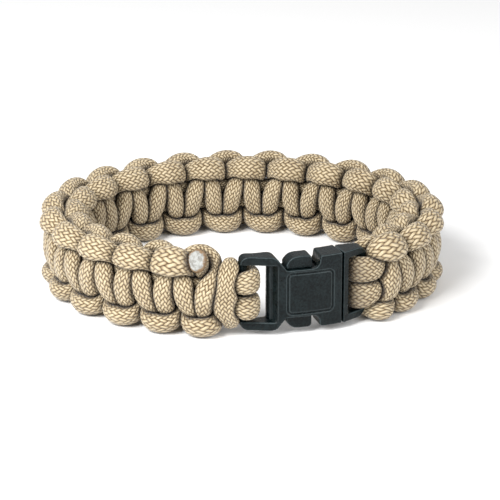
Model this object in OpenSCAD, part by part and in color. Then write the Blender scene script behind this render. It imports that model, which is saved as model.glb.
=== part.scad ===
// Woven cord bracelet with a contoured side-release buckle.
// Places along the band are given as [along, up, out]: "along" is the arc length at
// mid-thickness from the middle of the front towards +X, "up" is the height from the
// band's middle, and "out" is the distance outwards from mid-thickness.

/* [Loop] */
// Length of the loop at mid-thickness, along X
loop_length = 82.8; // [76:0.2:92]
// Depth of the loop at mid-thickness, along Y
loop_depth = 69; // [64:0.2:80]
// Radius of the two end bends at mid-thickness
end_radius = 30.5; // [26:0.5:31.5]
// Distance along the band from the middle of the front to the middle of the buckle
buckle_shift = 14; // [6:0.2:16]

/* [Weave] */
// Height of the woven band, from its lower to its upper edge
band_height = 19.6; // [18.8:0.1:22]
// Distance of the crossing legs from mid-thickness
leg_offset = 3.1; // [2.9:0.05:3.6]
// Number of half knots round the band
half_knots = 41; // [37:2:43]
// How much tighter the knots sit beside the buckle than at the back
crowding = 0.7; // [0:0.05:0.9]
// Distance from the plug's outer end to the middle of the first leg
plug_lead = 4.7; // [4.4:0.1:6]
// Distance from the socket's outer end to the middle of the last leg
socket_lead = 6.6; // [6.2:0.1:8]
// Distance of each core strand from the band's middle height
core_spread = 1.95; // [1.8:0.05:2.3]

/* [Cord] */
// Diameter of the cord where nothing squeezes it
cord_d = 4; // [3.6:0.05:4.3]
// Gap that stays between cords that press on each other
cord_gap = 0.55; // [0.45:0.05:0.65]
// Gap between a bar and the cord that turns round it
bar_gap = 0.12; // [0.1:0.01:0.2]

/* [Buckle] */
// Height of the socket's frame
frame_height = 17.2; // [16.4:0.1:18.4]
// Height of the buckle's middle part and of the plug's frame
body_height = 16.6; // [16:0.1:17.4]
// Thickness of the buckle's middle part
body_thick = 5.6; // [5.2:0.1:6.2]
// Thickness of the two frames at their outer ends
frame_thick = 3; // [2.6:0.1:3.4]
// Length of the socket
socket_length = 22.8; // [22:0.1:24]
// Length of the plug's frame, outside the socket
plug_length = 7; // [6.6:0.1:7.6]
// Height of the two cord slots
slot_height = 13.2; // [12.8:0.1:13.6]
// Length of the socket's slot behind, from the socket's outer end
slot_length = 6.2; // [6:0.1:6.4]
// How much longer the socket's slot is in front, where its end slants
slot_ramp = 2.2; // [1.6:0.1:2.4]
// Diameter of the two bars that the cord turns round
bar_d = 1.9; // [1.7:0.05:2]
// Length of the two side windows that show the latches
window_length = 6.6; // [6:0.1:7.2]
// Height of the front plate between the windows
plate_height = 11; // [10.6:0.1:11.4]
// Thickness of the socket's front and back walls
socket_wall = 1.2; // [1:0.05:1.4]
// Gap between the plug and the socket
buckle_gap = 0.15; // [0.1:0.01:0.2]
// Width of the rounded border on the front, along the band
border_width = 10.8; // [9:0.1:11]
// Height of the rounded border on the front
border_height = 9.8; // [7:0.1:10]
// Width of the border's line
border_line = 0.5; // [0.3:0.05:0.8]
// Depth of the border's line
border_depth = 0.2; // [0.1:0.05:0.3]

/* [Hidden] */

cord_tan = [0.74, 0.64, 0.47];
buckle_black = [0.13, 0.15, 0.16];

// The loop's plan: a wide arc at the front and back, and a tighter one at each end
half_length = loop_length / 2;
half_depth = loop_depth / 2;
end_centre = half_length - end_radius;
front_radius = (pow(end_centre, 2) + pow(half_depth, 2) - pow(end_radius, 2))
    / (2 * (half_depth - end_radius));
front_centre = front_radius - half_depth;
front_turn = asin(end_centre / (front_radius - end_radius));
front_arc = front_radius * front_turn * PI / 180;
end_arc = end_radius * (90 - front_turn) * PI / 180;
loop_arc = 4 * (front_arc + end_arc);
mid_height = band_height / 2;

function wrap(along) = along - loop_arc * floor((along + front_arc) / loop_arc);

// Centre x, centre y, radius and angle from the front of the arc under a place
function arc_at(t) =
    t <= front_arc
        ? [0, front_centre, front_radius, t / front_radius * 180 / PI]
    : t <= front_arc + 2 * end_arc
        ? [end_centre, 0, end_radius, front_turn + (t - front_arc) / end_radius * 180 / PI]
    : t <= 3 * front_arc + 2 * end_arc
        ? [0, -front_centre, front_radius,
           180 + (t - 2 * front_arc - 2 * end_arc) / front_radius * 180 / PI]
        : [-end_centre, 0, end_radius,
           180 + front_turn + (t - 3 * front_arc - 2 * end_arc) / end_radius * 180 / PI];

function place(p) =
    let (arc = arc_at(wrap(p[0])), reach = arc[2] + p[2])
    [arc[0] + reach * sin(arc[3]), arc[1] - reach * cos(arc[3]), mid_height + p[1]];

// The buckle's own stations along the band
buckle_length = socket_length + plug_length;
socket_end = buckle_shift - buckle_length / 2;
seam = socket_end + socket_length;
plug_end = seam + plug_length;

// The knots' stations along the band
last_leg = half_knots - 1;
first_at = plug_end + plug_lead;
last_at = socket_end - socket_lead + loop_arc;
weave_arc = last_at - first_at;

function knot_at(u) =
    let (t = u / last_leg - 0.5)
    first_at + weave_arc * (0.5 + t - crowding * (pow(t, 3) / 3 - t / 12));

// Lean of the knots: how far each edge is pushed along, as a share of the knot's pitch,
// beside the plug and beside the socket
TOP_PUSH = [-0.3, -0.05];
BOTTOM_PUSH = [-0.3, 0.4];
mean_pitch = weave_arc / last_leg;

function push(u, up) =
    let (ends = up > 0 ? TOP_PUSH : BOTTOM_PUSH, t = min(1, max(0, u / last_leg)))
    abs(up) * (ends[0] + (ends[1] - ends[0]) * t);

// One quarter of a half knot, from the middle of the inner edge pad to the middle of the leg.
// Columns: along in pitches, up as a share of the pad's height, out as a share of the leg's
// offset, tilt in degrees of the cord's tall side from up towards out, and half of its tall
// and wide sides as shares of the cord's radius.
QUARTER = [
    [-0.50, 1.00, -0.95, 42, 1.36, 1.06],
    [ 0.00, 0.94, -0.70, 44, 1.28, 1.02],
    [ 0.27, 0.66,  0.02, 37, 1.15, 1.00],
    [ 0.17, 0.42,  0.72, 62, 1.00, 1.15],
    [ 0.00, 0.00,  1.00, 90, 0.92, 1.20],
];
quarter_last = len(QUARTER) - 1;
cord_r = cord_d / 2;
pad = QUARTER[0];
pad_reach = cord_r * sqrt(pow(pad[4] * cos(pad[3]), 2) + pow(pad[5] * sin(pad[3]), 2));
pad_up = mid_height - pad_reach;

// A section of a cord is a place, the way its tall side points, and its half sides:
// [along, up, out, tall way's along, up and out, half tall, half wide]
function section(spot, way, tall, wide) = concat(spot, way, [tall * cord_r, wide * cord_r]);

function knot_section(u, row, up_sign, out_sign) =
    section(
        [knot_at(u + push(u, up_sign * row[1])), up_sign * row[1] * pad_up,
         out_sign * row[2] * leg_offset],
        [0, up_sign * cos(row[3]), out_sign * sin(row[3])], row[4], row[5]);

// A half knot of the strand whose legs cross the outer face (out_sign 1) or the inner face
// (out_sign -1): it runs from one edge pad, over its leg, to the next pad's start
function half_knot(i, out_sign) =
    let (up_sign = (i % 2 == 0 ? 1 : -1) * out_sign)
    concat(
        [for (row = QUARTER) knot_section(i + row[0], row, up_sign, out_sign)],
        [for (r = [quarter_last - 1:-1:1])
            knot_section(i - QUARTER[r][0], QUARTER[r], -up_sign, out_sign)]);

function run(first, last, out_sign) =
    [for (i = [first:last]) each half_knot(i, out_sign)];

function tail(list, from) = [for (i = [from:len(list) - 1]) list[i]];
function head(list, count) = [for (i = [0:count - 1]) list[i]];

plug_bar = plug_end - bar_d / 2;
socket_bar = socket_end + bar_d / 2;
wrap_spread = slot_height / 4 - cord_r / 8;

// A cord turned round a bar: it is squeezed flat, and its middle keeps this far from the bar's
wrap_tall = 1.35;
wrap_wide = 0.8;
wrap_step = 36;
bar_wrap = (bar_d / 2 + bar_gap + wrap_wide * cord_r) / cos(wrap_step / 2);

// Sections round a bar, from its inner side to its outer side; way is -1 when the turn passes
// the bar on its side towards smaller "along", and 1 on the other side
function round_bar(bar, spread, way) =
    [for (turn = [0:wrap_step:180])
        section([bar + way * bar_wrap * sin(turn), spread, -bar_wrap * cos(turn)],
                spread > 0 ? UP : DOWN, wrap_tall, wrap_wide)];
UP = [0, 1, 0];
DOWN = [0, -1, 0];
ALONG = [1, 0, 0];

// The strand with the outer legs: it leaves the plug's bar on the inner side, climbs to the
// upper edge and ends trimmed inside the lower edge beside the socket
function front_sections() = concat(
    [section([plug_bar + cord_r * 0.4, wrap_spread, -bar_wrap - cord_r * 0.075], UP, 1.25, 0.7),
     section([plug_end + cord_r * 0.2, wrap_spread + cord_r, -leg_offset * 1.1],
             [-0.8, 0.6, 0], 1.2, 0.78),
     section([plug_end + cord_r * 0.75, pad_up * 0.98, -leg_offset * 0.9],
             [-0.1, 0.8, 0.6], 1.25, 0.84)],
    tail(run(0, last_leg, 1), 1),
    [section([knot_at(last_leg + 0.4), -pad_up, -leg_offset * 0.78], [0, -0.8, 0.6], 1.2, 0.9)]);

// The strand with the inner legs: it leaves the plug's bar, rounds the lower edge and ends
// as a melted stub that faces out at the upper edge beside the socket
function back_sections() = concat(
    [section([plug_bar + cord_r * 0.45, -wrap_spread, -bar_wrap - cord_r * 0.075],
             [0, 0, -1], 0.7, 1.2),
     section([plug_end + cord_r * 0.05, -wrap_spread - cord_r * 1.15, -leg_offset * 1.12],
             [0, -0.3, -1], 0.72, 1.1),
     section([plug_end + cord_r * 0.8, cord_r * 0.9 - mid_height, -leg_offset * 0.6],
             [0, -1, -0.3], 0.8, 0.95),
     section([plug_end + cord_r * 1.05, cord_r * 0.95 - mid_height, leg_offset * 0.2],
             [0, -0.9, -0.4], 0.95, 1.05)],
    tail(head(run(0, last_leg, -1), 8 * half_knots - 1), 1),
    [section([knot_at(last_leg - 0.33), pad_up * 0.9, leg_offset * 0.48],
             [0, 0.7, -0.7], 1.2, 0.95),
     section([knot_at(last_leg - 0.36), pad_up * 1.02, leg_offset * 0.84],
             [0, 0.7, -0.7], 1.2, 0.95)]);

// The bight in front of the socket's frame is as tall as the frame
bight_up = frame_height / 2 - cord_r * 0.71;

// One core strand from the plug's bar, through the weave, round the socket's bar and up to
// the bight that crosses over both strands in front; side is 1 for the upper strand
function core_half(side) =
    let (end = loop_arc + socket_end, bar = loop_arc + socket_bar,
         spread = side * wrap_spread, flat = side * UP)
    concat(
        round_bar(plug_bar, spread, -1),
        [section([plug_end + cord_r * 0.8, spread * 0.86, bar_wrap * 0.78], flat, 1, 0.68)],
        [for (u = [0:last_leg])
            section([knot_at(u), side * core_spread, 0], flat, 0.97, 0.97)],
        [section([end - cord_r * 1.45, side * core_spread * 1.1, cord_r * 0.2], flat, 1.05, 0.9),
         section([bar - cord_r * 0.6, spread, bar_wrap * 0.95], flat, wrap_tall, wrap_wide)],
        flipped(round_bar(bar, spread, 1)),
        [section([end - cord_r * 1.15, spread + side * cord_r * 0.8, -leg_offset * 1.1],
                 [0.7, side * 0.7, 0], 1.1, 0.7),
         section([end - cord_r * 1.15, side * bight_up, -leg_offset * 0.25], ALONG, 1.05, 0.8),
         section([end - cord_r * 1.1, side * bight_up * 0.7, leg_offset * 0.85],
                 ALONG, 1.25, 0.8)]);

function flipped(list) = [for (i = [len(list) - 1:-1:0]) list[i]];

function core_sections() = concat(
    core_half(1),
    [section([loop_arc + socket_end - cord_r * 1.3, 0, leg_offset * 1.1], ALONG, 1.38, 0.8)],
    flipped(core_half(-1)));

function unit(v) = v / max(norm(v), 1e-9);
function spot(sec) = [sec[0], sec[1], sec[2]];

// Direction of travel at a section, in band places
function heading(list, i) =
    unit(spot(list[min(i + 1, len(list) - 1)]) - spot(list[max(i - 1, 0)]));

// The least that a squeezed side keeps, and a reach that nothing limits
least_reach = cord_r * 0.175;
far_off = 99;

// How far a cord's side may reach before it meets the plane halfway to a neighbour
function room(centre, side, near) =
    min([for (q = near)
        let (way = q - centre, far = norm(way), facing = side * way / far)
        facing > 0.08 ? max(least_reach, (far / 2 - cord_gap / 2) / facing) : far_off]);

function oval(tall, wide, turn) =
    1 / sqrt(pow(cos(turn) / tall, 2) + pow(sin(turn) / wide, 2));

// The two cross directions of a section: along its tall side, and along its wide side
function tall_side(sec, way) =
    let (tilted = [sec[3], sec[4], sec[5]]) unit(tilted - way * (tilted * way));

function side_at(sec, way, turn) =
    let (tall = tall_side(sec, way)) tall * cos(turn) + cross(way, tall) * sin(turn);

// How far each side of a section reaches: its oval, drawn in to the room left for it
function radii(sec, way, near, sides) =
    [for (k = [0:sides - 1])
        let (turn = 360 * (k + 0.5) / sides)
        min(oval(sec[6], sec[7], turn), room(spot(sec), side_at(sec, way, turn), near))];

reach = 3 * cord_r;
own_skip = 0.3 * cord_d;

// Places on the straight core strands beside a place
function core_marks(centre) =
    centre[0] < first_at - cord_r / 2 || centre[0] > last_at + cord_r / 2 ? []
    : [for (side = [-1, 1]) for (step = [-0.4, 0, 0.4])
        [centre[0] + step * cord_d, side * core_spread, 0]];

function others(centre, places) =
    [for (q = places) if (norm(q - centre) < reach && norm(q - centre) > own_skip) q];

function beside(sec, places, marks) =
    concat(others(spot(sec), places), marks ? core_marks(spot(sec)) : []);

// What one section may reach when the skin halfway to the next keeps inside its own room
function shared(own, next, between) = min(own, 2 * between - min(next, between));

// The points of every section of a cord
function rings(list, places, marks, sides) =
    let (last = len(list) - 1,
         ways = [for (i = [0:last]) heading(list, i)],
         own = [for (i = [0:last])
             radii(list[i], ways[i], beside(list[i], places, marks), sides)],
         between = [for (i = [0:last - 1])
             let (mid = (list[i] + list[i + 1]) / 2)
             radii(mid, unit(spot(list[i + 1]) - spot(list[i])),
                   beside(mid, places, marks), sides)])
    [for (i = [0:last]) [for (k = [0:sides - 1])
        let (before = i == 0 ? own[i][k]
                 : shared(own[i][k], own[i - 1][k], between[i - 1][k]),
             after = i == last ? own[i][k]
                 : shared(own[i][k], own[i + 1][k], between[i][k]))
        spot(list[i]) + min(before, after) * side_at(list[i], ways[i], 360 * (k + 0.5) / sides)]];

// A cord's closed skin, from its rings: its ends are closed with fans
module cord_skin(list, loops, sides) {
    count = len(loops);
    first = spot(list[0]);
    last = spot(list[count - 1]);
    points = concat([for (loop = loops) for (p = loop) place(p)], [place(first), place(last)]);
    start_at = count * sides;
    around = [for (i = [0:count - 2]) for (k = [0:sides - 1])
        let (a = i * sides + k, b = i * sides + (k + 1) % sides)
        each [[a, b + sides, b], [a, a + sides, b + sides]]];
    starts = [for (k = [0:sides - 1]) [start_at, k, (k + 1) % sides]];
    ends = [for (k = [0:sides - 1])
        [start_at + 1, (count - 1) * sides + (k + 1) % sides, (count - 1) * sides + k]];
    polyhedron(points, concat(around, starts, ends), convexity = 10);
}

// A cord's sections as places, with a place on the smooth curve halfway between each two
function spots(list) =
    let (last = len(list) - 1)
    [for (i = [0:last])
        let (a = spot(list[max(i - 1, 0)]), b = spot(list[i]),
             c = spot(list[min(i + 1, last)]), d = spot(list[min(i + 2, last)]))
        each i == last ? [b] : [b, (9 * (b + c) - a - d) / 16]];

cord_sides = 8;
core_sides = 6;

module front_cord() {
    list = front_sections();
    places = concat(spots(list), spots(back_sections()), spots(core_sections()));
    color(cord_tan) cord_skin(list, rings(list, places, true, cord_sides), cord_sides);
}

module back_cord() {
    list = back_sections();
    places = concat(spots(list), spots(front_sections()), spots(core_sections()));
    color(cord_tan) cord_skin(list, rings(list, places, true, cord_sides), cord_sides);
}

module core_cord() {
    list = core_sections();
    places = concat(spots(list), spots(front_sections()), spots(back_sections()));
    color(cord_tan) cord_skin(list, rings(list, places, false, core_sides), core_sides);
}

// Places along the buckle: the socket's slot ends in a ramp from its inner to its front edge,
// then come the windows, the entrance and the seam
slot_back = socket_end + slot_length;
slot_front = slot_back + slot_ramp;
window_start = slot_front + socket_wall;
window_end = window_start + window_length;
plug_start = seam + buckle_gap;
plug_wall = 1.15;
plug_slot = plug_start + plug_wall;
latch_play = 0.3;
latch_start = window_start + latch_play;
latch_end = window_end - latch_play;
guide_lead = 2;
guide_start = window_start + guide_lead;

// Half sizes of the buckle's stretches, from the band's middle
half_frame = frame_height / 2;
half_body = body_height / 2;
half_plate = plate_height / 2;
half_slot = slot_height / 2;
half_thick = body_thick / 2;
half_end = frame_thick / 2;
hollow_out = half_thick - socket_wall;
hollow_up = half_body - 2 * socket_wall;
plug_out = hollow_out - buckle_gap;
prong_up = half_plate - socket_wall;
latch_rise = 0.1;
latch_up = half_body + latch_rise;
latch_inset = 0.9;
latch_out = half_thick - latch_inset;
guide_up = 1.3;

// Roundings and small steps, and two lengths that pass an end and every face of the buckle
frame_corner = 1.9;
shoulder_r = 2.2;
plug_corner = 2.5;
border_corner = 1.2;
waist_turn = 25;
bend_lead = 0.4;
window_lip = 0.5;
scoop_r = 1.6;
scoop_turn = 15;
step_length = 1.7;
small_edge = 0.3;
even_end = 3;
swell_length = 1.2;
taper_end = 2;
latch_nose = 2.85;
latch_r = 2.8;
latch_turn = 160;
border_shift = 0.8;
slot_lip = 0.6;
clear = 1;
past = 9;

function plan_at(along, out) = let (p = place([along, 0, out])) [p[0], p[1]];

// A line of [along, out] places with three more between each two, so that it follows the arc
function follow(line) = concat(
    [for (i = [0:len(line) - 2]) for (t = [0:0.25:0.8]) line[i] + (line[i + 1] - line[i]) * t],
    [line[len(line) - 1]]);

function mirrored(line) = [for (i = [len(line) - 1:-1:0]) [line[i][0], -line[i][1]]];

// A block whose plan lies between an outer and an inner line of [along, out] places
module block(outer, inner, low, high) {
    plan = concat(follow(outer), follow(flipped(inner)));
    translate([0, 0, mid_height + low])
        linear_extrude(high - low)
            polygon([for (p = plan) plan_at(p[0], p[1])]);
}

// A curved bar of the band's own bend, of even thickness round mid-thickness
module slab(from, to, out, low, high) {
    block([[from, out], [to, out]], [[from, -out], [to, -out]], low, high);
}

module slab_pair(from, to, out, low, high) {
    slab(from, to, out, low, high);
    slab(from, to, out, -high, -low);
}

// Width in the front view of a place along the buckle, from the buckle's middle
function across(along) =
    front_radius * sin((along - buckle_shift) / front_radius * 180 / PI);

// A flat outline, seen from the front, carried through the buckle's thickness
module through() {
    translate([0, front_centre, mid_height])
        rotate([0, 0, buckle_shift / front_radius * 180 / PI])
            translate([0, past - front_radius, 0])
                rotate([90, 0, 0])
                    linear_extrude(2 * past) children();
}

function arc_points(centre, r, from, to, steps) =
    [for (i = [0:steps]) let (a = from + (to - from) * i / steps)
        centre + r * [cos(a), sin(a)]];

// Upper edge of the socket: rounded end, waist before the window, window and entrance
function socket_edge() = let (
    left = across(socket_end),
    bend = across(slot_back + bend_lead),
    open = across(window_start),
    shut = across(window_end) - small_edge,
    step = across(window_end + step_length))
    concat(
        arc_points([left + frame_corner, half_frame - frame_corner], frame_corner, 180, 90, 5),
        arc_points([bend, half_frame - shoulder_r], shoulder_r, 90, waist_turn, 4),
        [[open, half_plate + window_lip], [open + small_edge, half_plate]],
        arc_points([shut, half_plate + scoop_r], scoop_r, -90, -scoop_turn, 5),
        [[step - small_edge, half_body - small_edge], [step, half_body],
         [across(seam), half_body]]);

// Outer skin of the socket: thin at the bar, and full from the windows on
function socket_skin() =
    [[socket_end, half_end - small_edge], [socket_end + 2 * small_edge, half_end],
     [socket_end + even_end, half_end], [slot_front, half_thick - small_edge],
     [window_start + swell_length, half_thick], [seam, half_thick]];

// Outer skin of the plug's frame
function plug_skin() =
    [[plug_start, half_thick], [plug_end - taper_end, half_end + small_edge / 2],
     [plug_end, half_end - small_edge]];

module rounded(width, height, r) {
    x = width / 2 - r;
    y = height / 2 - r;
    polygon(concat(arc_points([x, y], r, 0, 90, 4), arc_points([-x, y], r, 90, 180, 4),
                   arc_points([-x, -y], r, 180, 270, 4), arc_points([x, -y], r, 270, 360, 4)));
}

// The border's line, cut into the front face only
module border_cut() {
    intersection() {
        through() translate([across((window_start + seam) / 2 - border_shift), 0]) difference() {
            rounded(border_width, border_height, border_corner);
            rounded(border_width - 2 * border_line, border_height - 2 * border_line,
                    border_corner - border_line);
        }
        block([[slot_front, past], [seam, past]],
              [[slot_front, half_thick - small_edge - border_depth],
               [window_start + swell_length, half_thick - border_depth],
               [seam, half_thick - border_depth]], -half_body, half_body);
    }
}

// A bar across a frame, reaching a little into the frame's arms
module bar(along) {
    middle = plan_at(along, 0);
    translate([middle[0], middle[1], mid_height - half_slot - small_edge])
        cylinder(d = bar_d, h = slot_height + 2 * small_edge, $fn = 48);
}

module buckle_socket() {
    edge = socket_edge();
    skin = socket_skin();
    color(buckle_black) union() {
        difference() {
            intersection() {
                block(skin, flipped(mirrored(skin)), -half_frame, half_frame);
                through() polygon(concat(edge, mirrored(edge)));
            }
            // The cord slot, with its ramp towards the front face
            block([[socket_end - clear, past], [slot_front + small_edge, past],
                   [slot_front, half_thick - small_edge], [slot_back, -slot_lip]],
                  [[socket_end - clear, -past], [slot_back, -past]], -half_slot, half_slot);
            // The hollow that takes the plug, open at the entrance and at both windows
            slab(window_start, seam + clear, hollow_out, -hollow_up, hollow_up);
            border_cut();
        }
        bar(socket_bar);
    }
}

// Front outline of the upper latch: it rises smoothly to the thumb rest and ends in a step
function latch_edge() = let (
    left = across(latch_start), right = across(latch_end), low = half_plate + buckle_gap)
    concat([[left + small_edge, low], [left + small_edge / 2, low + 3 * small_edge]],
        arc_points([left + latch_nose, latch_up - latch_r], latch_r, latch_turn, 90, 6),
        [[right - window_lip, latch_up], [right, latch_up - window_lip], [right, low]]);

module buckle_plug() {
    skin = plug_skin();
    latch = latch_edge();
    edge = concat([[across(plug_start), half_body]],
        arc_points([across(plug_end) - plug_corner, half_body - plug_corner],
                   plug_corner, 90, 0, 6));
    color(buckle_black) union() {
        difference() {
            intersection() {
                block(skin, flipped(mirrored(skin)), -half_body, half_body);
                through() polygon(concat(edge, mirrored(edge)));
            }
            slab(plug_slot, plug_end + clear, past, -half_slot, half_slot);
        }
        bar(plug_bar);
        // The two springy arms, the guide between them and the latches' roots
        slab_pair(latch_start, plug_start + small_edge, plug_out, prong_up, half_plate);
        slab(guide_start, plug_start + small_edge, plug_out, -guide_up, guide_up);
        slab_pair(latch_start, latch_end, plug_out, prong_up, half_plate + window_lip);
        // The thumb rests, in the windows
        intersection() {
            through() {
                polygon(latch);
                polygon(mirrored(latch));
            }
            slab(window_start, window_end, latch_out, -half_frame, half_frame);
        }
    }
}

front_cord();
back_cord();
core_cord();
buckle_socket();
buckle_plug();
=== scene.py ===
"""Dresses the woven cord bracelet: its three braided cords, the melted end and the buckle."""

import logging
import math
from dataclasses import dataclass, field
from enum import Enum

import bpy
import numpy as np
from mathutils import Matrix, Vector
from mathutils.kdtree import KDTree


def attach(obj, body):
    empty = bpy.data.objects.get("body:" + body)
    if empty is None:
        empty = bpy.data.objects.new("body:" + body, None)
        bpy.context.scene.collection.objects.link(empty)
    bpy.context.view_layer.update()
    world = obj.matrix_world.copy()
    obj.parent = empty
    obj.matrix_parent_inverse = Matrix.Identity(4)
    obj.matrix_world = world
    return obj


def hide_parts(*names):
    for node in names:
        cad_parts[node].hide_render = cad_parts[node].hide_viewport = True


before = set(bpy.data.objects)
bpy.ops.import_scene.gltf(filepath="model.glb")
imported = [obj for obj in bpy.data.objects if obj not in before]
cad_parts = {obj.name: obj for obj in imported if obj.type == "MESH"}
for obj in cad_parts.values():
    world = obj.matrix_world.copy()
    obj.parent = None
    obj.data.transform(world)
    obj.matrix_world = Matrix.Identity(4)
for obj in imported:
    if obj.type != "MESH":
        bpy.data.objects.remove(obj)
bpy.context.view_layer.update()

MM = 0.001
TINY = 1e-9
BODY = "root"
# Columns of a cord's section: its place, its tall side's way and its two half sides
PLACE = slice(0, 3)
WAY = slice(3, 6)
HALVES = slice(6, 8)

# A linear colour, a node's socket, and a socket or a plain number
Colour = tuple[float, float, float]
Socket = bpy.types.NodeSocket
Term = Socket | float

log = logging.getLogger("bracelet")


class Face(Enum):
    """The face of the band that a strand's legs cross."""

    OUTER = 1
    INNER = -1


class Edge(Enum):
    """The upper or the lower one of two core strands."""

    UPPER = 1
    LOWER = -1


@dataclass
class Band:
    """The loop's plan and the knots' stations, in millimetres.

    A place on the band is (along, up, out): the arc length at mid-thickness from the middle
    of the front towards +X, the height from the band's middle, and the distance outwards.
    """

    loop_length: float = 82.8
    loop_depth: float = 69.0
    end_radius: float = 30.5
    height: float = 19.6
    socket_end: float = -0.9
    seam: float = 21.9
    plug_end: float = 28.9
    last_leg: int = 40
    # From the buckle's ends to the first and the last leg, and how much closer the knots get
    plug_lead: float = 4.7
    socket_lead: float = 6.6
    crowding: float = 0.7
    end_centre: float = field(init=False)
    front_radius: float = field(init=False)
    front_centre: float = field(init=False)
    front_turn: float = field(init=False)
    front_arc: float = field(init=False)
    end_arc: float = field(init=False)
    loop_arc: float = field(init=False)
    first_at: float = field(init=False)
    weave_arc: float = field(init=False)

    def __post_init__(self) -> None:
        """Works out the four arcs of the loop and the length of the weave."""
        half_depth = self.loop_depth / 2
        self.end_centre = self.loop_length / 2 - self.end_radius
        self.front_radius = (self.end_centre**2 + half_depth**2 - self.end_radius**2) / (
            2 * (half_depth - self.end_radius)
        )
        self.front_centre = self.front_radius - half_depth
        self.front_turn = math.asin(self.end_centre / (self.front_radius - self.end_radius))
        self.front_arc = self.front_radius * self.front_turn
        self.end_arc = self.end_radius * (math.pi / 2 - self.front_turn)
        self.loop_arc = 4 * (self.front_arc + self.end_arc)
        self.first_at = self.plug_end + self.plug_lead
        self.weave_arc = self.loop_arc + self.socket_end - self.socket_lead - self.first_at

    @property
    def middle(self) -> float:
        """Height of the band's middle above the floor."""
        return self.height / 2

    def knot_at(self, knot: float) -> float:
        """Station of a leg along the band; knots sit closer beside the buckle.

        Args:
            knot: The leg's number, counted from the plug, whole or between two legs.

        Returns:
            The station in millimetres.
        """
        share = knot / self.last_leg - 0.5
        return self.first_at + self.weave_arc * (
            0.5 + share - self.crowding * (share**3 / 3 - share / 12)
        )

    def place(self, spots: np.ndarray) -> np.ndarray:
        """Turns places on the band into points of the scene.

        Args:
            spots: Rows of (along, up, out) in millimetres.

        Returns:
            Rows of (x, y, z) in metres.
        """
        spots = np.asarray(spots, float)
        along, up, out = spots[:, 0], spots[:, 1], spots[:, 2]
        along = along - self.loop_arc * np.floor((along + self.front_arc) / self.loop_arc)
        front, end = self.front_arc, 2 * self.end_arc
        part = [along <= front, along <= front + end, along <= 3 * front + end]
        turn = self.front_turn
        big, small, gap = self.front_radius, self.end_radius, self.end_centre
        centre_x = np.select(part, [0.0, gap, 0.0], -gap)
        centre_y = np.select(part, [self.front_centre, 0.0, -self.front_centre], 0.0)
        radius = np.select(part, [big, small, big], small)
        angle = np.select(
            part,
            [
                along / big,
                turn + (along - front) / small,
                math.pi + (along - 2 * front - end) / big,
            ],
            math.pi + turn + (along - 3 * front - end) / small,
        )
        reach = radius + out
        return MM * np.column_stack(
            (centre_x + reach * np.sin(angle), centre_y - reach * np.cos(angle), self.middle + up)
        )


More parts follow.
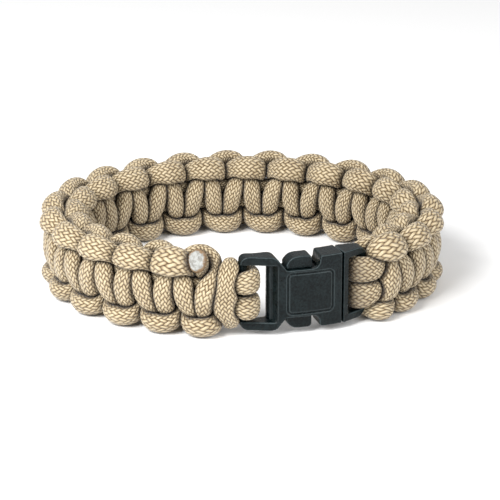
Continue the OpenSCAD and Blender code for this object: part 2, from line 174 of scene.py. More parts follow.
@dataclass
class Weave:
    """The sections of each strand along the flat weave, in millimetres.

    A section is (along, up, out, the tall side's way in the same three, half tall, half wide).
    """

    band: Band
    cord_radius: float = 2.0
    leg_offset: float = 3.1
    core_spread: float = 2.1
    bar_diameter: float = 1.9
    bar_gap: float = 0.12
    frame_height: float = 17.2
    slot_height: float = 13.2
    wrap_tall: float = 1.70
    socket_wrap_tall: float = 1.46
    wrap_wide: float = 0.7
    wrap_step: float = 36.0
    # How far each edge leans along beside the plug and beside the socket, in pitches
    top_push: tuple[float, float] = (-0.3, -0.05)
    bottom_push: tuple[float, float] = (-0.3, 0.4)
    # Along in pitches, share of the pad's height, share of the leg's offset, tilt, tall, wide
    arriving: tuple[tuple[float, ...], ...] = (
        (-0.50, 1.00, -1.00, 42, 1.58, 1.16),
        (0.00, 0.91, -0.62, 44, 1.30, 1.04),
        (0.27, 0.66, 0.06, 37, 1.14, 1.02),
        (0.17, 0.42, 0.72, 62, 1.06, 1.22),
        (0.00, 0.00, 1.00, 90, 1.02, 1.27),
    )
    leaving: tuple[tuple[float, ...], ...] = (
        (-0.17, 0.42, 0.72, 62, 1.06, 1.22),
        (-0.27, 0.66, -0.02, 37, 1.14, 1.02),
        (-0.02, 0.97, -0.84, 44, 1.44, 1.10),
    )
    # Legs' face, knot along the strand, growth, shift along in pitches, lift in millimetres
    oddities: tuple[tuple[Face, float, float, float, float], ...] = (
        (Face.OUTER, 0.0, 0.16, 0.0, 0.0),
        (Face.OUTER, 0.25, 0.0, -0.05, -1.5),
        (Face.OUTER, 39.7, 0.0, 0.26, 0.0),
        (Face.OUTER, 40.1, 0.12, 0.0, 0.0),
        (Face.OUTER, 40.3, 0.0, -0.3, 0.0),
        (Face.INNER, -0.4, 0.0, 0.3, 0.0),
        (Face.INNER, 0.5, 0.16, -0.12, 0.0),
        (Face.INNER, 38.5, 0.20, 0.0, 0.2),
        (Face.INNER, 39.5, 0.08, 0.0, 0.0),
    )
    odd_reach: float = 0.45
    low_pad_tall: float = 0.84
    low_pad_drop: float = 0.25
    low_leg_reach: float = 1.15
    # A table's rows past this share of the leg's offset belong to the pad
    pad_from: float = -0.6
    floor_room: float = 1.02
    bight_tall: float = 0.71
    trim_way: tuple[float, ...] = (0.15, 0.92, -0.36)

    @property
    def pad_up(self) -> float:
        """Height of an edge pad's middle above the band's middle.

        Returns:
            The height in millimetres.
        """
        pad = self.arriving[0]
        tilt = math.radians(pad[3])
        tall, wide = pad[4] * math.cos(tilt), pad[5] * math.sin(tilt)
        return self.band.middle - self.cord_radius * math.hypot(tall, wide)

    @property
    def bight_up(self) -> float:
        """Height above the band's middle of the bight in front of the socket's frame."""
        return self.frame_height / 2 - self.cord_radius * self.bight_tall

    @property
    def wrap_spread(self) -> float:
        """Height of a cord's middle above the band's middle where it turns round a bar."""
        return self.slot_height / 4 - self.cord_radius / 5

    @property
    def bar_wrap(self) -> float:
        """Distance of a cord's middle from the middle of the bar that it turns round."""
        flat = self.bar_diameter / 2 + self.bar_gap + self.wrap_wide * self.cord_radius
        return flat / math.cos(math.radians(self.wrap_step / 2))

    def section(self, spot: tuple, way: tuple, tall: float, wide: float) -> list[float]:
        """One section, with its half sides given as shares of the cord's radius."""
        return [*spot, *way, tall * self.cord_radius, wide * self.cord_radius]

    def push(self, knot: float, up: float) -> float:
        """Lean of a knot: how far an edge is pushed along, in pitches."""
        near, far = self.top_push if up > 0 else self.bottom_push
        return abs(up) * (near + (far - near) * min(1.0, max(0.0, knot / self.band.last_leg)))

    def knot_section(self, face: Face, knot: int, row: tuple, share: float) -> list[float]:
        """The section that a row of a half knot's table gives.

        Args:
            face: The face that the strand's legs cross.
            knot: The half knot's number.
            row: The row of the table.
            share: How far along the strand it lies, in half knots from the leg's middle.

        Returns:
            The section.
        """
        tilt, out = math.radians(row[3]), face.value
        up = out if knot % 2 == 0 else -out
        up = -up if share > 0 else up
        grow, shift, lift = 1.0, 0.0, 0.0
        for odd_face, at, growth, move, raised in self.oddities:
            near = max(0.0, 1 - (abs(knot + share - at) / self.odd_reach) ** 2)
            if odd_face == face:
                grow += near * growth
                shift += near * move
                lift += near * raised
        low_pad = up < 0 and row[2] < self.pad_from
        tall = row[4] * (self.low_pad_tall if low_pad else 1.0)
        lift -= self.low_pad_drop if low_pad else 0.0
        high = row[1] * (self.low_leg_reach if up < 0 and not low_pad else 1.0)
        reach = math.hypot(tall * math.cos(tilt), row[5] * math.sin(tilt)) * grow
        lowest = self.cord_radius * reach * self.floor_room - self.band.middle
        along = knot + row[0]
        spot = (
            self.band.knot_at(along + shift + self.push(along, up * row[1])),
            max(up * high * self.pad_up + lift, lowest),
            out * row[2] * self.leg_offset,
        )
        way = (0, up * math.cos(tilt), out * math.sin(tilt))
        return self.section(spot, way, tall * grow, row[5] * grow)

    def run(self, face: Face) -> list[list[float]]:
        """Every half knot of the strand whose legs cross the given face.

        Args:
            face: The face that the legs cross.

        Returns:
            The strand's sections, from the plug to the socket.
        """
        sections = []
        step = 0.5 / (len(self.arriving) - 1)
        for knot in range(self.band.last_leg + 1):
            for index, row in enumerate(self.arriving):
                sections.append(self.knot_section(face, knot, row, index * step - 0.5))
            for index, row in enumerate(self.leaving, 1):
                sections.append(self.knot_section(face, knot, row, index * step))
        return sections

    def front_sections(self) -> list[list[float]]:
        """The strand with the outer legs, from the plug's bar to its end beside the socket.

        Returns:
            Its sections in order.
        """
        band, wrap, pad, leg = self.band, self.bar_wrap, self.pad_up, self.leg_offset
        end, last = band.plug_end, band.knot_at(band.last_leg + 0.4)
        bar = end - self.bar_diameter / 2
        return [
            self.section((bar + 0.8, self.wrap_spread, -wrap - 0.15), (0, 1, 0), 1.25, 0.7),
            self.section((end + 0.4, self.wrap_spread + 2, -leg * 1.1), (-0.8, 0.6, 0), 1.2, 0.78),
            self.section((end + 1.5, pad * 0.86, -leg * 0.9), (-0.1, 0.8, 0.6), 1.25, 0.84),
            *self.run(Face.OUTER)[1:],
            self.section((last, -pad, -leg * 0.78), (0, -0.8, 0.6), 1.2, 0.9),
        ]

    def back_sections(self) -> list[list[float]]:
        """The strand with the inner legs, from the plug's bar to its melted end.

        Returns:
            Its sections in order.
        """
        band, wrap, leg, low = self.band, self.bar_wrap, self.leg_offset, -self.band.middle
        bar, end, last = band.plug_end - self.bar_diameter / 2, band.plug_end, band.last_leg
        return [
            self.section((bar + 0.9, -self.wrap_spread, -wrap - 0.15), (0, 0, -1), 0.7, 1.2),
            self.section(
                (end + 0.6, -self.wrap_spread - 2.3, -leg * 1.38), (0, -0.3, -1), 0.72, 1.05
            ),
            self.section((end + 1.6, low + 1.75, -leg * 0.98), (0, -1, -0.3), 0.85, 0.9),
            self.section((end + 1.0, -self.pad_up * 0.99, leg * 0.3), (0, -0.75, 0.66), 1.15, 0.95),
            self.section((end + 2.5, -self.pad_up, leg * 1.05), (0, -0.75, 0.66), 1.4, 1.1),
            *self.run(Face.INNER)[1:-1],
            *[
                self.section(
                    (band.knot_at(last - back), self.pad_up * up, leg * out), self.trim_way, 1.18, 0.9
                )
                for back, up, out in ((0.34, 1.04, 0.48), (0.40, 1.12, 0.86))
            ],
        ]

    def round_bar(self, bar: float, spread: float, way: int, tall: float) -> list[list[float]]:
        """Sections round a bar, from its inner side to its outer side.

        Args:
            bar: Station of the bar's middle.
            spread: Height of the cord's middle.
            way: -1 where the turn passes the bar towards smaller stations, else 1.
            tall: Half the cord's height there, as a share of its radius.

        Returns:
            The sections, inner side first.
        """
        up = (0, math.copysign(1, spread), 0)
        steps = [self.wrap_step * k for k in range(int(180 / self.wrap_step) + 1)]
        return [
            self.section(
                (
                    bar + way * self.bar_wrap * math.sin(math.radians(turn)),
                    spread,
                    -self.bar_wrap * math.cos(math.radians(turn)),
                ),
                up,
                tall,
                self.wrap_wide,
            )
            for turn in steps
        ]

    def core_half(self, edge: Edge) -> list[list[float]]:
        """One core strand, from the plug's bar to the loop that crosses over it in front.

        Args:
            edge: Whether it is the upper or the lower one.

        Returns:
            Its sections in order.
        """
        band, side, wrap, leg = self.band, edge.value, self.bar_wrap, self.leg_offset
        end = band.loop_arc + band.socket_end
        bar = end + self.bar_diameter / 2
        plug_bar = band.plug_end - self.bar_diameter / 2
        spread, up, along = side * self.wrap_spread, (0, side, 0), (1, 0, 0)
        core, bight = side * self.core_spread, side * self.bight_up
        socket_tall = self.socket_wrap_tall
        return [
            *self.round_bar(plug_bar, spread, -1, self.wrap_tall),
            self.section((band.plug_end + 1.0, spread, wrap * 0.92), up, 1.62, 0.8),
            self.section((band.plug_end + 3.2, spread * 0.96, wrap * 0.65), up, 1.55, 0.78),
            *[
                self.section((band.knot_at(knot), core, 0), up, 1.12, 0.97)
                for knot in range(band.last_leg + 1)
            ],
            self.section((end - 2.9, core * 1.1, 0.0), up, 1.05, 0.9),
            self.section((bar - 1.9, spread, wrap * 0.56), up, socket_tall, self.wrap_wide),
            *self.round_bar(bar, spread, 1, socket_tall)[::-1],
            self.section(
                (end - 2.3, spread + side * 1.6, -leg * 1.1), (0.7, side * 0.7, 0), 1.1, 0.7
            ),
            self.section((end - 1.75, bight * (0.88 if side > 0 else 0.97), 0), along, 0.95, 0.8),
            self.section((end - 2.1, bight * 0.66, leg * 0.85), along, 1.28, 0.8),
        ]

    def core_sections(self) -> list[list[float]]:
        """Both core strands, joined by the loop over the socket's bar.

        Returns:
            The sections, up one strand and down the other.
        """
        middle = (self.band.loop_arc + self.band.socket_end - 2.7, -1.2, self.leg_offset * 1.1)
        return [
            *self.core_half(Edge.UPPER),
            self.section(middle, (1, 0, 0), 1.52, 0.8),
            *self.core_half(Edge.LOWER)[::-1],
        ]


def unit(rows: np.ndarray) -> np.ndarray:
    """Scales each row to a length of one."""
    return rows / np.maximum(np.linalg.norm(rows, axis=-1, keepdims=True), TINY)


def eased(values: np.ndarray, passes: int) -> np.ndarray:
    """Evens out the rows of a table along its length, and keeps its two ends.

    Args:
        values: The table.
        passes: How many times each row is averaged with its neighbours.

    Returns:
        A new table of the same size.
    """
    values = values.copy()
    for _ in range(passes):
        values[1:-1] = (values[:-2] + 2 * values[1:-1] + values[2:]) / 4
    return values


@dataclass
class Route:
    """A cord's middle line and sections, evenly spaced along its length, in millimetres."""

    sections: list[list[float]]
    spacing: float
    easing: int = 2
    detail: int = 14
    rows: np.ndarray = field(init=False)
    arc: np.ndarray = field(init=False)
    heading: np.ndarray = field(init=False)
    tall_way: np.ndarray = field(init=False)
    bend: np.ndarray = field(init=False)

    def __post_init__(self) -> None:
        """Draws the smooth line through the sections and spaces it out."""
        table = np.array(self.sections, float)
        chord = np.sqrt(np.linalg.norm(np.diff(table[:, PLACE], axis=0), axis=1))
        knots = np.concatenate(([0.0], np.cumsum(chord)))
        slopes = np.gradient(table, knots, axis=0)
        fine = np.linspace(0, knots[-1], self.detail * len(table))
        index = np.clip(np.searchsorted(knots, fine) - 1, 0, len(knots) - 2)
        step = (knots[index + 1] - knots[index])[:, None]
        t = (fine[:, None] - knots[index][:, None]) / step
        a, b = table[index], table[index + 1]
        curve = (
            (2 * t**3 - 3 * t**2 + 1) * a
            + (t**3 - 2 * t**2 + t) * step * slopes[index]
            + (3 * t**2 - 2 * t**3) * b
            + (t**3 - t**2) * step * slopes[index + 1]
        )
        chord = np.linalg.norm(np.diff(curve[:, PLACE], axis=0), axis=1)
        run = np.concatenate(([0.0], np.cumsum(chord)))
        self.arc = np.linspace(0, run[-1], int(run[-1] / self.spacing))
        even = np.column_stack([np.interp(self.arc, run, column) for column in curve.T])
        self.rows = eased(even, self.easing)
        self.heading = unit(np.gradient(self.rows[:, PLACE], axis=0))
        way = self.rows[:, WAY]
        way = way - self.heading * np.sum(way * self.heading, axis=1, keepdims=True)
        self.tall_way = unit(way)
        gap = self.arc[1] - self.arc[0]
        self.bend = eased(np.gradient(self.heading, axis=0) / gap, self.easing)


@dataclass
class Crowd:
    """All the cords' middle lines together, where each cord finds what lies beside it."""

    routes: list[Route]
    spots: np.ndarray = field(init=False)
    strand: np.ndarray = field(init=False)
    arcs: np.ndarray = field(init=False)
    tree: KDTree = field(init=False)

    def __post_init__(self) -> None:
        """Gathers the places of every line, with their cord and their distance along it."""
        self.spots = np.concatenate([route.rows[:, PLACE] for route in self.routes])
        self.strand = np.repeat(range(len(self.routes)), [len(route.arc) for route in self.routes])
        self.arcs = np.concatenate([route.arc for route in self.routes])
        self.tree = KDTree(len(self.spots))
        for index, spot in enumerate(self.spots):
            self.tree.insert(spot, index)
        self.tree.balance()

    def beside(self, own: int, ring: int, near: float, skip: float) -> np.ndarray:
        """Finds what a cord's ring can press on.

        Args:
            own: The cord's number.
            ring: The ring's number on that cord.
            near: How far away a place may be.
            skip: Length of the same cord, on either side of the ring, that doesn't count.

        Returns:
            Offsets from the ring's middle to each place found.
        """
        centre, arc = self.routes[own].rows[ring, PLACE], self.routes[own].arc[ring]
        found = np.array([index for _, index, _ in self.tree.find_range(centre, near)])
        apart = np.abs(self.arcs[found] - arc) > skip
        return self.spots[found[(self.strand[found] != own) | apart]] - centre


@dataclass
class CordSkin:
    """The skin of a cord that presses on its neighbours, as a closed tube."""

    route: Route
    floor: float
    sides: int = 28
    # The gap kept to a neighbour, and how softly a side goes over from free to pressed
    gap: float = 0.06
    crease: float = 0.9
    # How near a neighbour counts, and how much of the cord's own length doesn't
    near: float = 6.6
    own_skip: float = 6.5
    # Bounds of the reach, and of the slants that it is worked out for
    least_reach: float = 0.3
    open_reach: float = 99.0
    least_facing: float = 0.08
    least_slope: float = 0.02
    bend_room: float = 0.92
    reach_passes: int = 2
    column_passes: int = 4
    squareness: float = 2.3
    # The braid's columns round the cord, and the length of one grain
    column_count: int = 18
    cell: float = 1.06
    # The rounded ends
    cap_rings: int = 5
    cap_bulge: float = 0.45
    cap_least: float = 0.02
    # How far a neighbour's painted shade reaches, and where the plug's slot casts a painted shadow on
    # a cord, and how much
    shade_depth: float = 1.15
    slot_shade: tuple[float, float] = (23.8, 28.6)
    slot_dark: float = 1.0
    # Painted shade of each side: deep between cords, against the floor and in the plug's slot
    painted_shade: np.ndarray = field(init=False)

    def room(self, crowd: Crowd, own: int) -> np.ndarray:
        """How far each side may reach before it meets the plane halfway to a neighbour.

        Args:
            crowd: All the cords' middle lines.
            own: This cord's number.

        Returns:
            The reach in every direction at every ring.
        """
        directions = self.directions()
        room = np.full(directions.shape[:2], self.open_reach)
        for ring, ways in enumerate(directions):
            offset = crowd.beside(own, ring, self.near, self.own_skip)
            if len(offset):
                far = np.linalg.norm(offset, axis=1)
                facing = ways @ (offset / far[:, None]).T
                halfway = (far - self.gap) / 2 / np.maximum(facing, self.least_facing)
                limit = np.where(facing > self.least_facing, halfway, self.open_reach)
                room[ring] = np.maximum(limit.min(axis=1), self.least_reach)
        return room

    def directions(self) -> np.ndarray:
        """The way out to each side of each ring.

        Returns:
            Directions, by ring and by side.
        """
        route = self.route
        turn = 2 * math.pi * np.arange(self.sides) / self.sides
        across = np.cross(route.heading, route.tall_way)
        return (
            route.tall_way[:, None, :] * np.cos(turn)[None, :, None]
            + across[:, None, :] * np.sin(turn)[None, :, None]
        )

    def ovals(self) -> np.ndarray:
        """The reach of each free, unpressed section.

        Returns:
            Distances from the middle line, by ring and by side.
        """
        turn = 2 * math.pi * np.arange(self.sides) / self.sides
        tall, wide = self.route.rows[:, HALVES].T[:, :, None]
        power = self.squareness
        total = abs(np.cos(turn) / tall) ** power + abs(np.sin(turn) / wide) ** power
        return total ** (-1 / power)

    def rings(self, crowd: Crowd, own: int) -> np.ndarray:
        """Presses every ring on its neighbours and the floor, and marks what lies in shade.

        Args:
            crowd: All the cords' middle lines.
            own: This cord's number.

        Returns:
            The rings' points, as places on the band.
        """
        free, directions = self.ovals(), self.directions()
        falling = np.maximum(-directions[:, :, 1], self.least_slope)
        ground = (self.route.rows[:, 1:2] - self.floor) / falling
        bend = np.einsum("ijk,ik->ij", directions, self.route.bend)
        inside = self.bend_room / np.maximum(bend, self.least_slope)
        inside = np.where(bend > self.least_slope, inside, self.open_reach)
        pressed = np.minimum(np.minimum(self.room(crowd, own), ground), inside)
        blend = np.clip(0.5 + 0.5 * (free - pressed) / self.crease, 0, 1)
        reach = free + (pressed - free) * blend - self.crease * blend * (1 - blend)
        reach = eased(reach, self.reach_passes)
        reach = (np.roll(reach, 1, axis=1) + 2 * reach + np.roll(reach, -1, axis=1)) / 4
        points = self.route.rows[:, None, PLACE] + reach[:, :, None] * directions
        # Painted shadow of the plug's slot on the cord, and painted shade where a side is pressed
        # deep against neighbours and the floor
        dark, lit = self.slot_shade
        shaded = self.slot_dark * np.clip((lit - points[:, :, 0]) / (lit - dark), 0, 1)
        shade_share = np.clip(1 - (pressed - reach) / self.shade_depth, 0, 1)
        self.painted_shade = np.maximum(shade_share, shaded)
        return points

    def capped(self, rings: np.ndarray) -> tuple[np.ndarray, np.ndarray]:
        """Adds rings that round off both ends.

        Args:
            rings: The cord's rings.

        Returns:
            The rings with their caps, and how far along the cord each ring lies.
        """
        route, turns = self.route, np.linspace(0, math.pi / 2, self.cap_rings + 1)[1:]
        parts, arcs = [rings], [route.arc]
        for end, way in ((0, -1), (-1, 1)):
            middle = route.rows[end, PLACE]
            bulge = self.cap_bulge * route.rows[end, HALVES].min()
            cap = [
                middle
                + (rings[end] - middle) * max(math.cos(turn), self.cap_least)
                + way * route.heading[end] * bulge * math.sin(turn)
                for turn in turns
            ]
            along = [route.arc[end] + way * bulge * math.sin(turn) for turn in turns]
            if way < 0:
                parts.insert(0, np.array(cap[::-1]))
                arcs.insert(0, np.array(along[::-1]))
            else:
                parts.append(np.array(cap))
                arcs.append(np.array(along))
        return np.concatenate(parts), np.concatenate(arcs)

    def shares(self, rings: np.ndarray) -> np.ndarray:
        """How far round the cord each side lies, as a share of the ring's length.

        Args:
            rings: The cord's rings, with their caps.

        Returns:
            Shares, by ring and by side, with the first side once more at the end.
        """
        edges = np.linalg.norm(np.roll(rings, -1, axis=1) - rings, axis=2)
        total = np.maximum(edges.sum(axis=1, keepdims=True), TINY)
        share = np.concatenate((np.zeros((len(rings), 1)), np.cumsum(edges, axis=1) / total), 1)
        return eased(share, self.column_passes)

    def build(self, name: str, band: Band, rings: np.ndarray) -> bpy.types.Object:
        """Makes the mesh, with its braid's columns and cells as its UV map.

        Args:
            name: The piece's name.
            band: The band that the rings' places are on.
            rings: The cord's rings.

        Returns:
            The piece.
        """
        rings, arcs = self.capped(rings)
        count, sides = len(rings), self.sides
        points = band.place(rings.reshape(-1, 3))
        ring, side = np.meshgrid(np.arange(count - 1), np.arange(sides), indexing="ij")
        after = (side + 1) % sides
        quads = np.stack(
            (ring * sides + side, ring * sides + after,
             (ring + 1) * sides + after, (ring + 1) * sides + side), axis=-1
        ).reshape(-1, 4)
        ends = [list(range(sides))[::-1], [(count - 1) * sides + k for k in range(sides)]]
        mesh = bpy.data.meshes.new(name)
        mesh.from_pydata(points.tolist(), [], quads.tolist() + ends)
        share = self.shares(rings) * self.column_count
        cells = arcs / self.cell
        u = np.stack((share[ring, side], share[ring, side + 1],
                      share[ring + 1, side + 1], share[ring + 1, side]), axis=-1)
        v = np.stack((cells[ring], cells[ring], cells[ring + 1], cells[ring + 1]), axis=-1)
        flat = np.stack((u, v), axis=-1).reshape(-1, 2)
        flat = np.concatenate((flat, np.zeros((2 * sides, 2))))
        layer = mesh.uv_layers.new(name="braid")
        layer.data.foreach_set("uv", flat.ravel())
        # Keeps the painted shade with the mesh, for the braid's material to darken
        shade = np.pad(self.painted_shade, ((self.cap_rings, self.cap_rings), (0, 0)), mode="edge")
        depth = mesh.attributes.new("painted_shade", "FLOAT", "POINT")
        depth.data.foreach_set("value", shade.ravel())
        mesh.polygons.foreach_set("use_smooth", [True] * len(mesh.polygons))
        mesh.update()
        piece = bpy.data.objects.new(name, mesh)
        bpy.context.scene.collection.objects.link(piece)
        return piece


class Graph:
    """A material's node tree, built step by step."""

    def __init__(self, name: str) -> None:
        """Starts a material with its shader and its output.

        Args:
            name: The material's name.
        """
        self.material = bpy.data.materials.new(name)
        self.material.use_nodes = True
        self.tree = self.material.node_tree
        self.shader = self.tree.nodes["Principled BSDF"]

    def node(self, kind: str, **settings: object) -> bpy.types.Node:
        """Adds a node and sets its own properties.

        Args:
            kind: The node's type.
            **settings: Properties of the node and their values.

        Returns:
            The node.
        """
        made = self.tree.nodes.new(kind)
        for key, value in settings.items():
            setattr(made, key, value)
        return made

    def link(self, source: Term | tuple, target: Socket) -> None:
        """Feeds a socket from another, or sets it to a plain value.

        Args:
            source: A socket or a value.
            target: The socket that it goes into.
        """
        if isinstance(source, Socket):
            self.tree.links.new(source, target)
        else:
            target.default_value = source

    def math(self, operation: str, first: Term, second: Term = 0.0) -> Socket:
        """One step of arithmetic on sockets or numbers.

        Args:
            operation: The sum to work out.
            first: Its first term.
            second: Its second term.

        Returns:
            The result.
        """
        made = self.node("ShaderNodeMath", operation=operation)
        self.link(first, made.inputs[0])
        self.link(second, made.inputs[1])
        return made.outputs[0]

    def noise(self, place: Socket, scale: float, detail: float) -> Socket:
        """A soft noise of the given scale.

        Args:
            place: Where it is read.
            scale: How many swells fit in a metre.
            detail: How many finer layers it has.

        Returns:
            The noise, from 0 to 1.
        """
        made = self.node("ShaderNodeTexNoise")
        self.link(place, made.inputs["Vector"])
        made.inputs["Scale"].default_value = scale
        made.inputs["Detail"].default_value = detail
        return made.outputs["Fac"]

    def ramp(self, value: Socket, stops: tuple[tuple[float, Colour], ...]) -> Socket:
        """Turns a value into a colour along stops of (position, colour).

        Args:
            value: The value.
            stops: Pairs of a position and a colour, in order.

        Returns:
            The colour.
        """
        made = self.node("ShaderNodeValToRGB")
        self.link(value, made.inputs["Fac"])
        elements = made.color_ramp.elements
        while len(elements) < len(stops):
            elements.new(0.5)
        for element, (position, colour) in zip(elements, stops):
            element.position = position
            element.color = (*colour, 1.0)
        return made.outputs["Color"]

    def mix(self, share: Socket, first: Socket | tuple, second: Socket | tuple) -> Socket:
        """Mixes two colours.

        Args:
            share: How much of the second one shows.
            first: A colour.
            second: A colour.

        Returns:
            The mix.
        """
        made = self.node("ShaderNodeMix", data_type="RGBA")
        self.link(share, made.inputs[0])
        # The colours come after the sockets for numbers and for vectors
        self.link(first, made.inputs[6])
        self.link(second, made.inputs[7])
        return made.outputs[2]

    def bump(self, height: Socket, depth: float) -> None:
        """A relief of the given depth in metres, fed to the shader.

        Args:
            height: The relief's height, from 0 to 1.
            depth: Its depth in metres.
        """
        made = self.node("ShaderNodeBump")
        self.link(height, made.inputs["Height"])
        made.inputs["Distance"].default_value = depth
        made.inputs["Strength"].default_value = 1.0
        self.link(made.outputs["Normal"], self.shader.inputs["Normal"])


@dataclass(frozen=True)
class BraidFinish:
    """Tan nylon sheath: slanted grains in columns, alternate columns slanting the other way."""

    # Painted shade mixed in where a cord lies deep between others and in the plug's slot
    painted_shade: Colour = (0.030, 0.016, 0.006)
    # The sheath's tan by a grain's height: painted shade in the pits, painted highlight on the tops
    crease: Colour = (0.080, 0.044, 0.017)
    shade: Colour = (0.200, 0.138, 0.066)
    middle: Colour = (0.330, 0.254, 0.145)
    light: Colour = (0.485, 0.396, 0.256)
    tone_stops: tuple[float, ...] = (0.0, 0.26, 0.54, 0.96)
    slant: float = 0.46
    bulge: float = 0.13
    # How far a grain falls off, and how suddenly: to its sides, to its ends and at its corners
    side_fall: tuple[float, float] = (0.88, 2.0)
    end_fall: tuple[float, float] = (0.62, 2.6)
    corner_fall: tuple[float, float] = (0.55, 1.4)
    # How strongly the painted shade of crevices and of the plug's slot shows, and how suddenly
    painted_shade_fall: tuple[float, float] = (0.95, 1.4)
    grain_spread: float = 0.26
    patch_spread: float = 0.3
    patch_scale: float = 260.0
    fibre_share: float = 0.12
    fibre_scale: float = 5200.0
    relief: float = 0.00026
    roughness: float = 0.45
    gloss: float = 0.4
    sheen: float = 0.15
    sheen_roughness: float = 0.5

    def make(self, name: str) -> bpy.types.Material:
        """Builds the braid from the cord's own columns and cells.

        Args:
            name: The material's name.

        Returns:
            The material.
        """
        g = Graph(name)
        uv = g.node("ShaderNodeUVMap", uv_map="braid").outputs["UV"]
        split = g.node("ShaderNodeSeparateXYZ")
        g.link(uv, split.inputs[0])
        height, random = self.grain(g, split.outputs[0], split.outputs[1])
        place = g.node("ShaderNodeTexCoord").outputs["Object"]
        g.link(self.tint(g, place, height, random), g.shader.inputs["Base Color"])
        g.shader.inputs["Roughness"].default_value = self.roughness
        g.shader.inputs["Specular IOR Level"].default_value = self.gloss
        g.shader.inputs["Sheen Weight"].default_value = self.sheen
        g.shader.inputs["Sheen Roughness"].default_value = self.sheen_roughness
        fibre = g.noise(place, self.fibre_scale, detail=2.0)
        g.bump(g.math("ADD", height, g.math("MULTIPLY", fibre, self.fibre_share)), self.relief)
        return g.material

    def fallen(self, g: Graph, share: Socket, fall: tuple[float, float]) -> Socket:
        """How far the height has fallen at a share of the way out."""
        return g.math("MULTIPLY", fall[0], g.math("POWER", share, fall[1]))

    def grain(self, g: Graph, around: Socket, along: Socket) -> tuple[Socket, Socket]:
        """Finds the grain that a spot is in.

        Args:
            g: The material's graph.
            around: How far round the cord, in columns.
            along: How far along the cord, in grains.

        Returns:
            The height there, and a random number that is the grain's own.
        """
        around = self.swayed(g, around, along)
        column = g.math("FLOOR", around)
        across = g.math("SUBTRACT", g.math("SUBTRACT", around, column), 0.5)
        odd = g.math("FLOORED_MODULO", column, 2.0)
        slant = g.math("SUBTRACT", self.slant, g.math("MULTIPLY", odd, 2 * self.slant))
        lifted = g.math("ADD", along, g.math("MULTIPLY", slant, across))
        stack = g.math("ADD", lifted, g.math("MULTIPLY", odd, 0.5))
        row = g.math("FLOOR", stack)
        off = g.math("ABSOLUTE", g.math("SUBTRACT", g.math("SUBTRACT", stack, row), 0.5))
        side = g.math("MULTIPLY", off, 2.0)
        end = g.math("MULTIPLY", g.math("ABSOLUTE", across), 2.0)
        hump = g.math("SUBTRACT", 1.0, self.fallen(g, side, self.side_fall))
        taper = g.math("SUBTRACT", 1.0, self.fallen(g, end, self.end_fall))
        pit = self.fallen(g, g.math("MULTIPLY", side, end), self.corner_fall)
        height = g.math("SUBTRACT", g.math("MULTIPLY", hump, taper), pit)
        seed = g.node("ShaderNodeCombineXYZ")
        g.link(column, seed.inputs[0])
        g.link(row, seed.inputs[1])
        random = g.node("ShaderNodeTexWhiteNoise", noise_dimensions="2D")
        g.link(seed.outputs[0], random.inputs["Vector"])
        return height, random.outputs["Value"]

    def tint(self, g: Graph, place: Socket, height: Socket, random: Socket) -> Socket:
        """Colours grains by chance, painting shade in pits, crevices and the plug's slot, and
        highlights on tops.

        Args:
            g: The material's graph.
            place: The spot's place on the piece.
            height: The grain's height there.
            random: The grain's own random number.

        Returns:
            The colour.
        """
        patch = g.math("SUBTRACT", g.noise(place, self.patch_scale, detail=2.0), 0.5)
        patch = g.math("MULTIPLY", patch, self.patch_spread)
        spread = g.math("MULTIPLY", g.math("SUBTRACT", random, 0.5), self.grain_spread)
        # Height paints shade into the pits between grains and a highlight onto their tops; spread and
        # patch are each grain's own random tone
        tone = g.math("ADD", height, g.math("ADD", spread, patch))
        colours = (self.crease, self.shade, self.middle, self.light)
        # Painted shade: darkens sides deep between cords, against the floor and in the plug's slot
        depth = g.node("ShaderNodeAttribute", attribute_name="painted_shade").outputs["Fac"]
        shade_share = self.fallen(g, depth, self.painted_shade_fall)
        sheath = g.ramp(tone, tuple(zip(self.tone_stops, colours)))
        return g.mix(shade_share, sheath, (*self.painted_shade, 1.0))

    def swayed(self, g: Graph, around: Socket, along: Socket) -> Socket:
        """Sways the lines between columns, so that each grain bulges between two ends beside it.

        Args:
            g: The material's graph.
            around: How far round the cord, in columns.
            along: How far along the cord, in grains.

        Returns:
            The place round the cord that the grains follow.
        """
        line = g.math("FLOOR", g.math("ADD", around, 0.5))
        off = g.math("MULTIPLY", g.math("ABSOLUTE", g.math("SUBTRACT", around, line)), 2.0)
        after_even = g.math("FLOORED_MODULO", line, 2.0)
        lean = g.math("MULTIPLY", g.math("SUBTRACT", after_even, 0.5), self.slant)
        wave = g.math("COSINE", g.math("MULTIPLY", g.math("ADD", along, lean), 2 * math.pi))
        sign = g.math("SUBTRACT", 1.0, g.math("MULTIPLY", after_even, 2.0))
        sway = g.math("MULTIPLY", g.math("MULTIPLY", wave, sign), self.bulge)
        near = g.math("SUBTRACT", 1.0, off)
        return g.math("SUBTRACT", around, g.math("MULTIPLY", near, sway))


